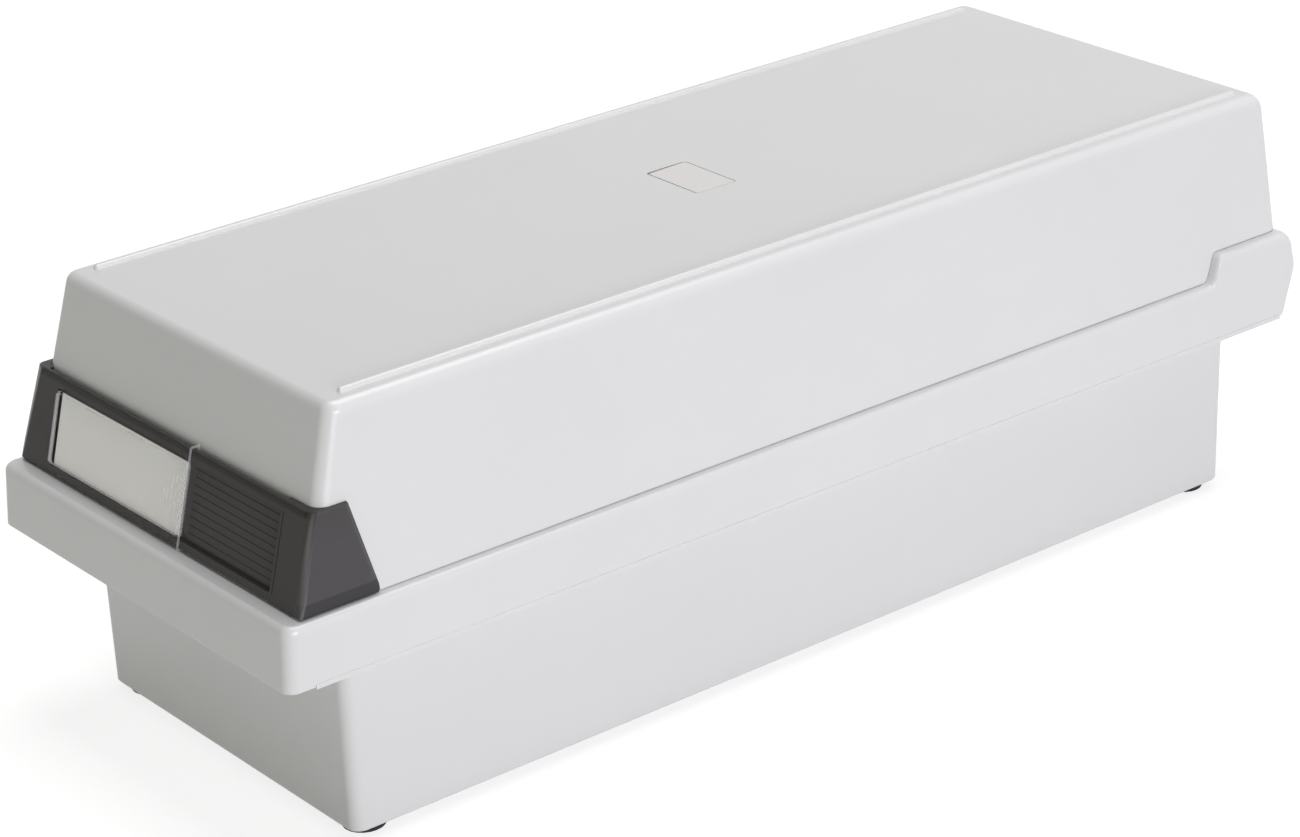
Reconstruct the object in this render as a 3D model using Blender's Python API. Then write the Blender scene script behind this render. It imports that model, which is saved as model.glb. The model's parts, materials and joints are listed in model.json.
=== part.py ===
"""Index card tray with a hinged lid, in metres, +Z up.

X runs across the tray, the label front faces -Y, and the hinge is at +Y.
The origin is on the table, under the middle of the rim's outline.
"""

import math
from collections import namedtuple

import bmesh
import bpy
from mathutils import Matrix, Vector

# Fits between pieces
CLEARANCE = 0.0003
OVERRUN = 0.0006
LEAST_CORNER = 0.0006

# Smoothness of round shapes, as counts
CORNER_SEGMENTS = 5
STEP_SEGMENTS = 10
EDGE_SEGMENTS = 6
FILLET_SEGMENTS = 3
ROUND_SEGMENTS = 20
SMOOTH_ANGLE = math.radians(32)

# Tray: one moulding with a trough, a wide rim and a raised rear deck
RIM_LENGTH = 0.360
RIM_WIDTH = 0.1385
FRONT_OVERHANG = 0.0226
REAR_OVERHANG = 0.0209
SIDE_OVERHANG = 0.01025
FOOT_HEIGHT = 0.0025
LEDGE_Z = 0.0715
SKIRT_DEPTH = 0.0175
DECK_RISE = 0.0084
STEP_LENGTH = 0.0067
STEP_FROM_REAR = 0.0380
FLOOR_THICKNESS = 0.0024
TROUGH_WALL = 0.0024
SKIRT_WALL = 0.0022
PLATE_THICKNESS = 0.0024
COAMING_HEIGHT = 0.0040
COAMING_EDGE = 0.0006
TROUGH_DRAFT_SHARE = 0.0106
RIM_SIDE_DRAFT_SHARE = 0.020
RIM_FRONT_DRAFT_SHARE = 0.064
TROUGH_CORNER = 0.0038
RIM_CORNER = 0.0036
RIM_EDGE = 0.0016
RIM_FRONT_EDGE = 0.0020
RIM_REAR_EDGE = 0.0050
RIM_LIP_EDGE = 0.0004
BASE_EDGE = 0.0008
BASE_INSET = 0.0012
FLOOR_EDGE = 0.0016
RIDGE_BELOW_LEDGE = 0.0033
MIDDLE_BELOW_LEDGE = 0.0095
RIDGE_EDGE = 0.0008
REAR_UNDERCUT = 0.0048
REAR_SETBACK = 0.0023

# Bead along the foot of each side skirt
BEAD_STRIP_HEIGHT = 0.0013
BEAD_STRIP_DROP = 0.0004
BEAD_STRIP_PROUD = 0.0003
BEAD_STRIP_INSET = 0.0015
BEAD_STRIP_FRONT_GAP = 0.0080
BEAD_STRIP_REAR_GAP = 0.0085
BEAD_STRIP_EDGE = 0.0002

# Lid: a drafted hood with two beads and a badge recess on top
LID_RISE = 0.0509
LID_WALL = 0.0020
LID_ROOF = 0.0020
LID_SIDE_LEDGE = 0.0030
LID_FRONT_LEDGE = 0.0078
LID_REAR_LEDGE = 0.0030
LID_SIDE_DRAFT_SHARE = 0.069
LID_FRONT_DRAFT_SHARE = 0.264
LID_REAR_DRAFT_SHARE = 0.099
LID_CORNER = 0.0040
LID_EDGE = 0.0028
LID_FRONT_EDGE = 0.0022
LID_REAR_EDGE = 0.0052
LID_FOOT_EDGE = 0.0004
LID_ROOF_FILLET = 0.0026
TOP_BEAD_WIDTH = 0.0020
TOP_BEAD_HEIGHT = 0.0012
TOP_BEAD_INSET = 0.0056
TOP_BEAD_FRONT_GAP = 0.0065
TOP_BEAD_REAR_GAP = 0.0078

# Badge: a bare plate in a shallow recess
BADGE_WIDTH = 0.0229
BADGE_LENGTH = 0.0142
BADGE_CORNER = 0.0012
BADGE_RECESS_DEPTH = 0.0011
BADGE_SUNK = 0.0001
BADGE_SLOT_WIDTH = 0.0006

# Front clasp: a dark band round the lid's lower front, with two ears
CLASP_HEIGHT = 0.02595
CLASP_DEPTH = 0.00265
EAR_DEPTH = 0.00145
EAR_REACH = 0.0221
EAR_LEAN_SHARE = 0.267
EAR_BOTTOM_CORNER = 0.0022
EAR_TOP_CORNER = 0.0016
EAR_PANEL_CORNER = 0.0030
EAR_BEVEL_DEPTH = 0.0008
EAR_BEVEL_FOOT = 0.0044
EAR_BEVEL_REAR = 0.0013
CLASP_CHAMFER_FOOT = 0.0012
CLASP_CHAMFER_TOP = 0.0034
CLASP_CHAMFER_DEPTH_SHARE = 0.42
CLASP_FLATNESS_SHARE = 0.9
CLASP_EDGE = 0.0005
RECESS_WIDTH = 0.1062
RECESS_HEIGHT = 0.0211
RECESS_RISE = 0.0027
RECESS_DEPTH = 0.0014
RECESS_CORNER = 0.0014
GRIP_RIB_COUNT = 9
GRIP_RIB_START_SHARE = 0.82
GRIP_RIB_HEIGHT = 0.00015
GRIP_RIB_WIDTH = 0.00155
GRIP_RIB_END_GAP = 0.0010
STOP_BEAD_WIDTH = 0.0009
STOP_BEAD_PROUD = 0.00015
REBATE_DEPTH = 0.0012
HOOK_SPACING = 0.0720
HOOK_WIDTH = 0.0080
HOOK_HEIGHT = 0.0022
HOOK_RISE = 0.0100
HOOK_BARB = 0.0008
HOOK_NOSE = 0.0012

# Label cover: a clear sleeve clipped over the clasp, which slides to the right
COVER_SKIN = 0.00075
COVER_FOOT_SKIN = 0.0004
COVER_LEFT_GAP = 0.0062
COVER_RIGHT_SHIFT = 0.0124
COVER_HOOK_REACH = 0.0009
COVER_EDGE = 0.0002
PANE_INSET = 0.0005
PANE_RIGHT_INSET = 0.0007
PANE_DEPTH = 0.0006
PANE_CORNER = 0.0011
THUMB_RIDGE_COUNT = 5
THUMB_RIDGE_PITCH = 0.0017
THUMB_RIDGE_WIDTH = 0.0004
THUMB_RIDGE_PROUD = 0.00015
THUMB_RIDGE_LENGTH = 0.0150
THUMB_RIDGE_FALL_SHARE = 0.17
CARD_THICKNESS = 0.00025
CARD_END_GAP = 0.0012
CARD_RIGHT_GAP = 0.0022
CARD_FOOT_GAP = 0.0004
CARD_TOP_GAP = 0.0011

# Rear hinges: heeled tray knuckles, a lid knuckle and a pin at each
HINGE_INSET = 0.03125
HINGE_ABOVE_DECK = 0.0035
HINGE_FROM_REAR = 0.0025
KNUCKLE_RADIUS = 0.0025
HEEL_RISE = 0.0027
LID_KNUCKLE_WIDTH = 0.0140
TRAY_KNUCKLE_WIDTH = 0.0060
PIN_RADIUS = 0.0012
PIN_HEAD_RADIUS = 0.0019
PIN_HEAD_LENGTH = 0.0008
LEG_FRONT_REACH = 0.0023
LEG_DEPTH = 0.0110

# Rubber feet in shallow seats
FOOT_RADIUS = 0.0060
FOOT_SEAT_DEPTH = 0.0009
FOOT_EDGE = 0.0006
FOOT_SIDE_INSET = 0.0079
FOOT_FRONT_INSET = 0.0079
FOOT_REAR_INSET = 0.0082

# Floor rails that guide the follower
RAIL_GAP = 0.0200
RAIL_THROAT = 0.0140
RAIL_WEB = 0.0016
RAIL_HEIGHT = 0.0042
RAIL_FLANGE = 0.0012
RAIL_FRONT_GAP = 0.0440
RAIL_REAR_GAP = 0.0040

# Follower: a sled in the rails, a bent steel plate, rivets and a cam lever
SLED_FROM_REAR = 0.0170
SLED_LENGTH = 0.0420
SLED_WIDTH = 0.0260
SLED_TOP = 0.0095
SLED_EDGE = 0.0005
PLATE_SIDE_GAP = 0.0046
PLATE_HEIGHT = 0.0640
PLATE_GAUGE = 0.0012
PLATE_LEAN = math.radians(8)
PLATE_CORNER = 0.0060
PLATE_FOOT_LENGTH = 0.0150
PLATE_FOOT_WIDTH = 0.0240
PLATE_FROM_FRONT = 0.0012
PLATE_RETURN = 0.0060
PLATE_EDGE = 0.0003
RIVET_RADIUS = 0.0013
RIVET_HEAD_RADIUS = 0.0025
RIVET_HEAD_HEIGHT = 0.0010
RIVET_DEPTH = 0.0030
RIVET_SPACING = 0.0130
RIVET_FROM_BEND = 0.0085
LEVER_FROM_SLED_REAR = 0.0145
LEVER_WIDTH = 0.0080
CAM_FLAT_SHARE = 0.90
CAM_LOCK_ANGLE = math.radians(270)
CAM_LOBE_HALF_ANGLE = math.radians(35)
HANDLE_LENGTH = 0.0210
HANDLE_THICKNESS = 0.0022
HANDLE_ANGLE = math.radians(20)
HANDLE_PAD_WIDTH = 0.0160
HANDLE_PAD_LENGTH = 0.0060
LEVER_PIN_RADIUS = 0.0012
LEVER_PIN_END_GAP = 0.0010

# Places that several pieces share
RIM_HALF = RIM_WIDTH / 2
RIM_FRONT = -RIM_LENGTH / 2
RIM_REAR = RIM_LENGTH / 2
SKIRT_Z = LEDGE_Z - SKIRT_DEPTH
DECK_Z = LEDGE_Z + DECK_RISE
FLOOR_Z = FOOT_HEIGHT + FLOOR_THICKNESS
STEP_START = RIM_REAR - STEP_FROM_REAR
STEP_END = STEP_START + STEP_LENGTH
RIM_TOP_HALF = RIM_HALF - RIM_SIDE_DRAFT_SHARE * SKIRT_DEPTH
RIM_TOP_FRONT = RIM_FRONT + RIM_FRONT_DRAFT_SHARE * SKIRT_DEPTH
RIM_TOP_REAR = RIM_REAR - REAR_SETBACK
LID_FOOT_Z = LEDGE_Z + CLEARANCE
LID_TOP_Z = LID_FOOT_Z + LID_RISE
LID_FOOT_HALF = RIM_TOP_HALF - LID_SIDE_LEDGE
LID_FOOT_FRONT = RIM_TOP_FRONT + LID_FRONT_LEDGE
LID_FOOT_REAR = RIM_TOP_REAR - LID_REAR_LEDGE
CLASP_Z = LEDGE_Z + CLEARANCE
CLASP_SEAT_Z = CLASP_Z + COVER_FOOT_SKIN + CLEARANCE
CLASP_TOP_Z = CLASP_Z + CLASP_HEIGHT
HINGE_Y = RIM_REAR - HINGE_FROM_REAR
HINGE_Z = DECK_Z + HINGE_ABOVE_DECK
FACE_ANGLE = math.atan(LID_FRONT_DRAFT_SHARE)

Ring = namedtuple("Ring", "side side_deck front rear z z_deck corner corner_y flat")


def trough_half(z):
    """Half the trough's outer width at a height."""
    return RIM_HALF - SIDE_OVERHANG + TROUGH_DRAFT_SHARE * (z - FOOT_HEIGHT)


def trough_front(z):
    return RIM_FRONT + FRONT_OVERHANG - TROUGH_DRAFT_SHARE * (z - FOOT_HEIGHT)


def trough_rear(z):
    return RIM_REAR - REAR_OVERHANG + TROUGH_DRAFT_SHARE * (z - FOOT_HEIGHT)


def lid_half(z):
    """Half the lid's outer width at a height."""
    return LID_FOOT_HALF - LID_SIDE_DRAFT_SHARE * (z - LID_FOOT_Z)


def lid_front(z):
    return LID_FOOT_FRONT + LID_FRONT_DRAFT_SHARE * (z - LID_FOOT_Z)


def lid_rear(z):
    return LID_FOOT_REAR - LID_REAR_DRAFT_SHARE * (z - LID_FOOT_Z - DECK_RISE)


def trough_ring(z, z_deck, inset):
    """A level outline of the trough, pulled in by an inset."""
    corner = max(TROUGH_CORNER - inset, LEAST_CORNER)
    return Ring(trough_half(z) - inset, trough_half(z_deck) - inset, trough_front(z) + inset,
                trough_rear(z_deck) - inset, z, z_deck, corner, corner, 0)


def rim_ring(z, z_deck, rear, inset):
    """An outline of the rim: z on the front and sides, z_deck on the raised rear."""
    side = RIM_HALF - RIM_SIDE_DRAFT_SHARE * (z - SKIRT_Z)
    side_deck = RIM_HALF - RIM_SIDE_DRAFT_SHARE * (z_deck - SKIRT_Z)
    front = RIM_FRONT + RIM_FRONT_DRAFT_SHARE * (z - SKIRT_Z)
    corner = max(RIM_CORNER - inset, LEAST_CORNER)
    return Ring(side - inset, side_deck - inset, front + inset, rear - inset, z, z_deck,
                corner, corner, 0)


def lid_ring(z, z_deck, inset):
    """An outline of the lid, pulled in by an inset, or out where it is negative."""
    corner = max(LID_CORNER - inset, LEAST_CORNER)
    return Ring(lid_half(z) - inset, lid_half(z_deck) - inset, lid_front(z) + inset,
                lid_rear(z_deck) - inset, z, z_deck, corner, corner, 0)


def edge_inset(below, radius):
    """How far an edge of a radius has come in at a distance below its top."""
    if below >= radius:
        return 0
    return radius - math.sqrt(radius ** 2 - (radius - below) ** 2)


def edge_levels(radius):
    """Distances below the top, from the foot of a rounded edge up to the top."""
    return [radius * (1 - math.sin(math.pi / 2 * i / EDGE_SEGMENTS))
            for i in range(EDGE_SEGMENTS + 1)]


def rounded_edge(ring, below, side_radius, front_radius, rear_radius):
    """Pull a ring in along an edge that has its own radius on the sides, front and rear."""
    side_inset = edge_inset(below, side_radius)
    corner = max(ring.corner - side_inset, LEAST_CORNER)
    return ring._replace(side=ring.side - side_inset, side_deck=ring.side_deck - side_inset,
                         front=ring.front + edge_inset(below, front_radius),
                         rear=ring.rear - edge_inset(below, rear_radius),
                         corner=corner, corner_y=corner)


def mix(a, b, share):
    return Ring(*[p + (q - p) * share for p, q in zip(a, b)])


def toward(ring, other, size):
    """The ring at a distance from one corner of a section towards the next ring."""
    fall = abs(other.z - ring.z)
    run = abs(other.side - ring.side)
    if fall > run:
        return mix(ring, other, min(size / fall, 0.45))
    moved = []
    for p, q in zip(ring, other):
        reach = min(size, abs(q - p) * 0.45)
        moved.append(p + math.copysign(reach, q - p) if q != p else p)
    return Ring(*moved)


def soften(section):
    """Round the corners of a section, given as (ring, fillet size) from start to end."""
    rings = [section[0][0]]
    for (before, _), (ring, size), (after, _) in zip(section, section[1:], section[2:]):
        if not size:
            rings.append(ring)
            continue
        first = toward(ring, before, size)
        last = toward(ring, after, size)
        for i in range(FILLET_SEGMENTS + 1):
            share = i / FILLET_SEGMENTS
            rings.append(mix(mix(first, ring, share), mix(ring, last, share), share))
    return rings + [section[-1][0]]


def corner_points(x, y, radius, radius_y, start, flat):
    """A plan corner round a centre; flat draws the arc in to a chamfer."""
    points = []
    for i in range(CORNER_SEGMENTS + 1):
        share = i / CORNER_SEGMENTS
        angle = start + share * math.pi / 2
        arc = Vector((math.cos(angle), math.sin(angle)))
        first = Vector((math.cos(start), math.sin(start)))
        last = Vector((-math.sin(start), math.cos(start)))
        spot = arc.lerp(first.lerp(last, share), flat)
        points.append((x + radius * spot.x, y + radius_y * spot.y))
    return points


def ease(share):
    """A share that starts and ends gently."""
    return share * share * (3 - 2 * share)


def outline(ring):
    """The closed outline of a ring, anticlockwise from above, with the step in its sides."""
    right = []
    for i in range(STEP_SEGMENTS + 1):
        share = i / STEP_SEGMENTS
        rise = ease(ease(share))
        right.append((ring.side + (ring.side_deck - ring.side) * rise,
                      STEP_START + STEP_LENGTH * share,
                      ring.z + (ring.z_deck - ring.z) * rise))
    left = [(-x, y, z) for x, y, z in reversed(right)]
    size = ring.corner, ring.corner_y
    deck_x = ring.side_deck - ring.corner
    rear_y = ring.rear - ring.corner_y
    low_x = ring.side - ring.corner
    front_y = ring.front + ring.corner_y
    quarter = math.pi / 2
    rear = [(x, y, ring.z_deck) for x, y in
            corner_points(deck_x, rear_y, *size, 0, ring.flat)
            + corner_points(-deck_x, rear_y, *size, quarter, ring.flat)]
    front = [(x, y, ring.z) for x, y in
             corner_points(-low_x, front_y, *size, 2 * quarter, ring.flat)
             + corner_points(low_x, front_y, *size, 3 * quarter, ring.flat)]
    return right + rear + left + front


def loft(rings, closed=False):
    """A body through a stack of rings, capped at both ends unless it closes on itself."""
    bm = bmesh.new()
    loops = [[bm.verts.new(point) for point in outline(ring)] for ring in rings]
    pairs = list(zip(loops, loops[1:]))
    if closed:
        pairs.append((loops[-1], loops[0]))
    for a, b in pairs:
        for i in range(len(a)):
            j = (i + 1) % len(a)
            bm.faces.new((a[i], a[j], b[j], b[i]))
    if not closed:
        bm.faces.new(loops[0])
        bm.faces.new(loops[-1])
    bmesh.ops.recalc_face_normals(bm, faces=bm.faces)
    return bm


def rounded(points, radii):
    """A 2D outline with each corner rounded by its own radius."""
    result = []
    count = len(points)
    for i, (point, radius) in enumerate(zip(points, radii)):
        corner = Vector(point)
        if not radius:
            result.append(corner)
            continue
        before = Vector(points[i - 1]) - corner
        after = Vector(points[(i + 1) % count]) - corner
        half = before.angle(after) / 2
        reach = min(radius / math.tan(half), before.length * 0.49, after.length * 0.49)
        start = corner + before.normalized() * reach
        end = corner + after.normalized() * reach
        for step in range(FILLET_SEGMENTS + 1):
            share = step / FILLET_SEGMENTS
            result.append(start.lerp(corner, share).lerp(corner.lerp(end, share), share))
    return result


def rectangle(x0, x1, y0, y1):
    return [(x0, y0), (x1, y0), (x1, y1), (x0, y1)]


def sandwich(bm, layers):
    """Join equal outlines, each a list of 3D points, into one closed body in bm."""
    loops = [[bm.verts.new(point) for point in layer] for layer in layers]
    faces = [bm.faces.new(loops[0]), bm.faces.new(loops[-1])]
    for a, b in zip(loops, loops[1:]):
        for i in range(len(a)):
            j = (i + 1) % len(a)
            faces.append(bm.faces.new((a[i], a[j], b[j], b[i])))
    bmesh.ops.recalc_face_normals(bm, faces=faces)


def across(bm, points, x0, x1):
    """A prism along X of an outline in Y and Z."""
    sandwich(bm, [[(x, y, z) for y, z in points] for x in (x0, x1)])


def along(bm, points, y0, y1):
    """A prism along Y of an outline in X and Z."""
    sandwich(bm, [[(x, y, z) for x, z in points] for y in (y0, y1)])


def upright(bm, points, z0, z1):
    """A prism along Z of an outline in X and Y."""
    sandwich(bm, [[(x, y, z) for x, y in points] for z in (z0, z1)])


def box(bm, x0, x1, y0, y1, z0, z1):
    upright(bm, rectangle(x0, x1, y0, y1), z0, z1)


def circle(y, z, radius):
    """A circle in Y and Z."""
    turn = 2 * math.pi / ROUND_SEGMENTS
    return [(y + radius * math.cos(turn * (i + 0.5)), z + radius * math.sin(turn * (i + 0.5)))
            for i in range(ROUND_SEGMENTS)]


def face_matrix(height):
    """The frame of the clasp's leaning front: X across, Y up the face, Z out of it."""
    place = Matrix.Translation((0, lid_front(height) - CLASP_DEPTH, height))
    return place @ Matrix.Rotation(math.pi / 2 - FACE_ANGLE, 4, "X")


def on_face(bm, points, bottom, top):
    """A prism standing on the clasp's front: an outline in X and up the face."""
    frame = face_matrix(CLASP_Z)
    sandwich(bm, [[frame @ Vector((x, up, out)) for x, up in points] for out in (bottom, top)])


def to_mesh(bm, name):
    bmesh.ops.recalc_face_normals(bm, faces=bm.faces)
    mesh = bpy.data.meshes.new(name)
    bm.to_mesh(mesh)
    bm.free()
    return mesh


def combine(bm, tool, operation):
    """Cut or join a tool with a body and return the new body."""
    body = bpy.data.objects.new("body", to_mesh(bm, "body"))
    cutter = bpy.data.objects.new("cutter", to_mesh(tool, "cutter"))
    for obj in (body, cutter):
        bpy.context.scene.collection.objects.link(obj)
    modifier = body.modifiers.new("combine", "BOOLEAN")
    modifier.operation = operation
    modifier.solver = "EXACT"
    modifier.object = cutter
    evaluated = body.evaluated_get(bpy.context.evaluated_depsgraph_get())
    result = bmesh.new()
    result.from_mesh(evaluated.to_mesh())
    evaluated.to_mesh_clear()
    for obj in (body, cutter):
        bpy.data.objects.remove(obj, do_unlink=True)
    bmesh.ops.remove_doubles(result, verts=result.verts, dist=CLEARANCE / 60)
    return result


def material(name, color, roughness, metallic=0.0, alpha=1.0):
    surface = bpy.data.materials.new(name)
    surface.use_nodes = True
    shader = surface.node_tree.nodes["Principled BSDF"]
    shader.inputs["Base Color"].default_value = (*color, 1.0)
    shader.inputs["Roughness"].default_value = roughness
    shader.inputs["Metallic"].default_value = metallic
    shader.inputs["Alpha"].default_value = alpha
    surface.diffuse_color = (*color, alpha)
    return surface


def finish(bm, name, surface, origin, parent=None, edge=0.0):
    """Make the named object, with its origin at a world point, under an optional parent."""
    origin = Vector(origin)
    mesh = to_mesh(bm, name)
    mesh.transform(Matrix.Translation(-origin))
    mesh.materials.append(surface)
    mesh.shade_smooth()
    mesh.set_sharp_from_angle(angle=SMOOTH_ANGLE)
    obj = bpy.data.objects.new(name, mesh)
    bpy.context.scene.collection.objects.link(obj)
    obj.location = origin
    if parent:
        obj.parent = parent
        above = parent
        while above:
            obj.location -= above.location
            above = above.parent
    if edge:
        bevel = obj.modifiers.new("edge", "BEVEL")
        bevel.width = edge
        bevel.segments = 1
        bevel.limit_method = "ANGLE"
        bevel.angle_limit = math.radians(50)
        bevel.use_clamp_overlap = True
    return obj


def hinge_centres():
    return [HINGE_INSET - RIM_HALF, RIM_HALF - HINGE_INSET]


def foot_places():
    """The four feet: name ending and centre."""
    x = trough_half(FOOT_HEIGHT) - FOOT_SIDE_INSET
    front = trough_front(FOOT_HEIGHT) + FOOT_FRONT_INSET
    rear = trough_rear(FOOT_HEIGHT) - FOOT_REAR_INSET
    return {"front_left": (-x, front), "front_right": (x, front),
            "rear_left": (-x, rear), "rear_right": (x, rear)}


def disc(bm, x, y, levels):
    """A round body on a vertical axis through (radius, z) levels."""
    turn = 2 * math.pi / ROUND_SEGMENTS
    sandwich(bm, [[(x + radius * math.cos(turn * i), y + radius * math.sin(turn * i), z)
                   for i in range(ROUND_SEGMENTS)] for radius, z in levels])


def rim_edge():
    """Rings round the rim's top edge, from the inside out and down."""
    rings = []
    for below in reversed(edge_levels(RIM_REAR_EDGE)):
        share = below / (DECK_RISE + RIDGE_BELOW_LEDGE)
        rear = RIM_TOP_REAR + REAR_SETBACK * share
        ring = rim_ring(LEDGE_Z - below, DECK_Z - below, rear, 0)
        rings.append((rounded_edge(ring, below, RIM_EDGE, RIM_FRONT_EDGE, RIM_REAR_EDGE), 0))
    return rings


def tray_section():
    """The tray's section from the floor, up and over the rim, and back under to the base."""
    coaming_z = LEDGE_Z + COAMING_HEIGHT
    coaming_deck = DECK_Z + COAMING_HEIGHT
    ridge_z = LEDGE_Z - RIDGE_BELOW_LEDGE
    middle_z = LEDGE_Z - MIDDLE_BELOW_LEDGE
    under_z = LEDGE_Z - PLATE_THICKNESS
    under_deck = DECK_Z - PLATE_THICKNESS
    foot_rear = RIM_REAR - REAR_UNDERCUT
    floor = trough_ring(FLOOR_Z, FLOOR_Z, TROUGH_WALL)
    flat_floor = trough_ring(FLOOR_Z, FLOOR_Z, TROUGH_WALL + FLOOR_EDGE)
    base = trough_ring(FOOT_HEIGHT, FOOT_HEIGHT, 0)
    flat_base = trough_ring(FOOT_HEIGHT, FOOT_HEIGHT, BASE_INSET)
    return [
        (flat_floor._replace(corner=TROUGH_CORNER - TROUGH_WALL), 0),
        (floor, FLOOR_EDGE / 2),
        (trough_ring(coaming_z, coaming_deck, TROUGH_WALL), COAMING_EDGE),
        (trough_ring(coaming_z, coaming_deck, 0), COAMING_EDGE),
        (trough_ring(LEDGE_Z, DECK_Z, 0), 0),
        *rim_edge(),
        (rim_ring(middle_z, ridge_z, RIM_REAR, 0), RIDGE_EDGE),
        (rim_ring(SKIRT_Z, SKIRT_Z, foot_rear, 0), RIM_LIP_EDGE),
        (rim_ring(SKIRT_Z, SKIRT_Z, foot_rear, SKIRT_WALL), RIM_LIP_EDGE),
        (rim_ring(middle_z, ridge_z, RIM_REAR, SKIRT_WALL), 0),
        (rim_ring(under_z, under_deck, RIM_TOP_REAR, SKIRT_WALL), PLATE_THICKNESS / 2),
        (trough_ring(under_z, under_deck, 0), 0),
        (base, BASE_EDGE),
        (flat_base, 0),
    ]


def floor_rails(bm):
    """Two hooked rails on the trough's floor, which hold the follower's sled."""
    inner = RAIL_GAP / 2
    throat = RAIL_THROAT / 2
    outer = inner + RAIL_WEB
    foot = FLOOR_Z - OVERRUN
    top = FLOOR_Z + RAIL_HEIGHT
    neck = top - RAIL_FLANGE
    y0 = trough_front(FLOOR_Z) + TROUGH_WALL + RAIL_FRONT_GAP
    y1 = trough_rear(FLOOR_Z) - TROUGH_WALL - RAIL_REAR_GAP
    for side in (-1, 1):
        profile = [(inner, foot), (outer, foot), (outer, top), (throat, top),
                   (throat, neck), (inner, neck)]
        along(bm, [(side * x, z) for x, z in profile], y0, y1)


def skirt_beads(bm):
    """A slim bead along the foot of each side skirt, which stops short of the corners."""
    y0 = RIM_FRONT + BEAD_STRIP_FRONT_GAP
    y1 = RIM_REAR - BEAD_STRIP_REAR_GAP
    z0 = SKIRT_Z - BEAD_STRIP_DROP
    z1 = z0 + BEAD_STRIP_HEIGHT
    for side in (-1, 1):
        x0 = RIM_HALF - BEAD_STRIP_INSET
        x1 = RIM_HALF + BEAD_STRIP_PROUD
        profile = rounded([(x0, z0), (x1, z0), (x1, z1), (x0, z1)],
                          [0, BEAD_STRIP_EDGE, BEAD_STRIP_EDGE, 0])
        along(bm, [(side * x, z) for x, z in profile], y0, y1)


def tray_knuckles(bm):
    """Heeled knuckles on the rear deck. The heel stops the open lid."""
    front = HINGE_Y - LEG_FRONT_REACH
    rear = HINGE_Y + KNUCKLE_RADIUS
    arc = []
    for i in range(ROUND_SEGMENTS // 2 + 1):
        angle = math.pi / 2 + math.pi * i / ROUND_SEGMENTS
        arc.append((HINGE_Y + KNUCKLE_RADIUS * math.cos(angle),
                    HINGE_Z + KNUCKLE_RADIUS * math.sin(angle)))
    foot = DECK_Z - LEG_DEPTH
    reach = RIM_REAR - REAR_SETBACK - SKIRT_WALL
    profile = [(rear, HINGE_Z + HEEL_RISE), (HINGE_Y, HINGE_Z + HEEL_RISE)]
    profile += [point for point in arc if point[0] < front or point[1] > HINGE_Z]
    profile += [(front, DECK_Z - OVERRUN), (reach, DECK_Z - PLATE_THICKNESS / 2),
                (reach + SKIRT_WALL / 2, foot), (rear, foot + HINGE_FROM_REAR)]
    for centre in hinge_centres():
        for side in (-1, 1):
            near = centre + side * (LID_KNUCKLE_WIDTH / 2 + CLEARANCE)
            far = near + side * TRAY_KNUCKLE_WIDTH
            across(bm, profile, min(near, far), max(near, far))


def hinge_bores(bm, reach):
    """Cutters for the pin holes, longer than the knuckles that they go through."""
    hole = circle(HINGE_Y, HINGE_Z, PIN_RADIUS + CLEARANCE)
    for centre in hinge_centres():
        across(bm, hole, centre - reach, centre + reach)


def make_tray(surface):
    bm = loft(soften(tray_section()))
    extra = bmesh.new()
    floor_rails(extra)
    skirt_beads(extra)
    tray_knuckles(extra)
    bm = combine(bm, extra, "UNION")
    cuts = bmesh.new()
    hinge_bores(cuts, LID_KNUCKLE_WIDTH / 2 + TRAY_KNUCKLE_WIDTH + OVERRUN)
    for x, y in foot_places().values():
        seat = FOOT_RADIUS + CLEARANCE
        disc(cuts, x, y, [(seat, FOOT_HEIGHT - OVERRUN), (seat, FOOT_HEIGHT + FOOT_SEAT_DEPTH)])
    return finish(combine(bm, cuts, "DIFFERENCE"), "tray", surface, (0, 0, 0))


def make_feet(surface, parent):
    top = FOOT_HEIGHT + FOOT_SEAT_DEPTH - CLEARANCE
    for ending, (x, y) in foot_places().items():
        bm = bmesh.new()
        disc(bm, x, y, [(FOOT_RADIUS - FOOT_EDGE, 0), (FOOT_RADIUS - FOOT_EDGE / 4, FOOT_EDGE / 3),
                        (FOOT_RADIUS, FOOT_EDGE), (FOOT_RADIUS, top)])
        finish(bm, "foot_" + ending, surface, (x, y, 0), parent)


def make_hinge_pins(surface, parent):
    reach = LID_KNUCKLE_WIDTH / 2 + CLEARANCE + TRAY_KNUCKLE_WIDTH
    for ending, centre, side in zip(("left", "right"), hinge_centres(), (-1, 1)):
        bm = bmesh.new()
        head = side * (reach + CLEARANCE)
        levels = [(PIN_RADIUS, -side * reach), (PIN_RADIUS, head),
                  (PIN_HEAD_RADIUS, head), (PIN_HEAD_RADIUS, head + side * PIN_HEAD_LENGTH)]
        sandwich(bm, [[(centre + x, y, z) for y, z in circle(HINGE_Y, HINGE_Z, radius)]
                      for radius, x in levels])
        finish(bm, "hinge_pin_" + ending, surface, (centre, HINGE_Y, HINGE_Z), parent)


def lid_edge():
    """Rings round the lid's top edge, from its foot up."""
    rings = []
    for below in edge_levels(LID_REAR_EDGE):
        ring = lid_ring(LID_TOP_Z - below, LID_TOP_Z - below, 0)
        rings.append((rounded_edge(ring, below, LID_EDGE, LID_FRONT_EDGE, LID_REAR_EDGE), 0))
    return rings


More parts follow.
